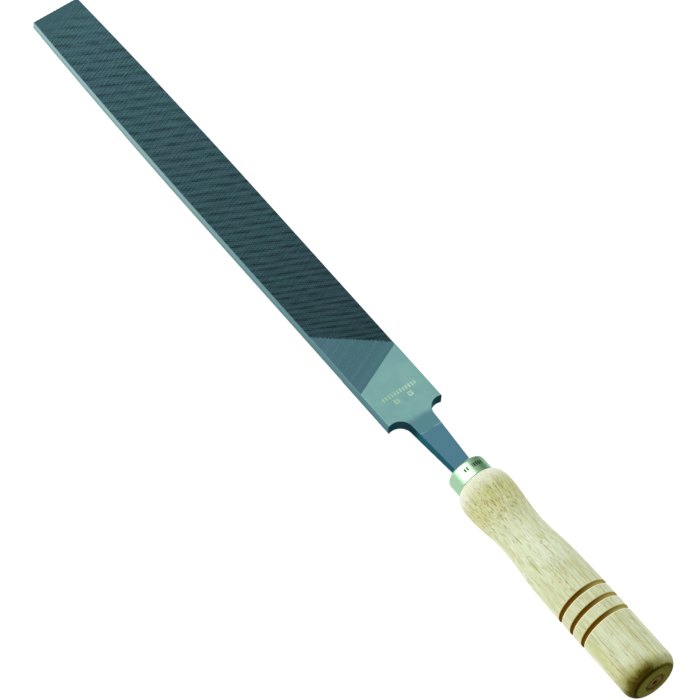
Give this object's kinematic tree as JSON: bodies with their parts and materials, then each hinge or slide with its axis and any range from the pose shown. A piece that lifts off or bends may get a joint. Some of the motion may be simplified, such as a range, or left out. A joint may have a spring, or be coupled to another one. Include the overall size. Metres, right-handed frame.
{
  "type": "flat file",
  "caption": "Flat double-cut hand file with safe heel and tapered tang, driven into a turned wooden handle with a plated steel ferrule.",
  "frame": {"origin": "middle of the whole tool, on its axis and in the middle of the blade's thickness", "axes": "+X along the tool's axis, from the butt of the handle to the tip of the file; +Y across the blade's width; +Z out of the upper cut face"},
  "size_m": [0.4842, 0.032, 0.0286],
  "materials": {
    "file_steel": "hardened tool steel with crossed cut teeth on both flat faces, smooth ground heel and narrow sides",
    "plated_ferrule": "bright nickel plating on drawn steel",
    "handle_wood": "pale open-pored hardwood, turned, thin clear lacquer, burnt grooves"
  },
  "bodies": {
    "file": {"file_blade": "file_steel"},
    "grip": {"handle": "handle_wood", "ferrule": "plated_ferrule"}
  },
  "joints": [
    {"name": "handle_pull", "type": "slide", "parent": "file", "child": "grip", "axis": [-1, 0, 0], "range_m": [0, 0.06]}
  ]
}
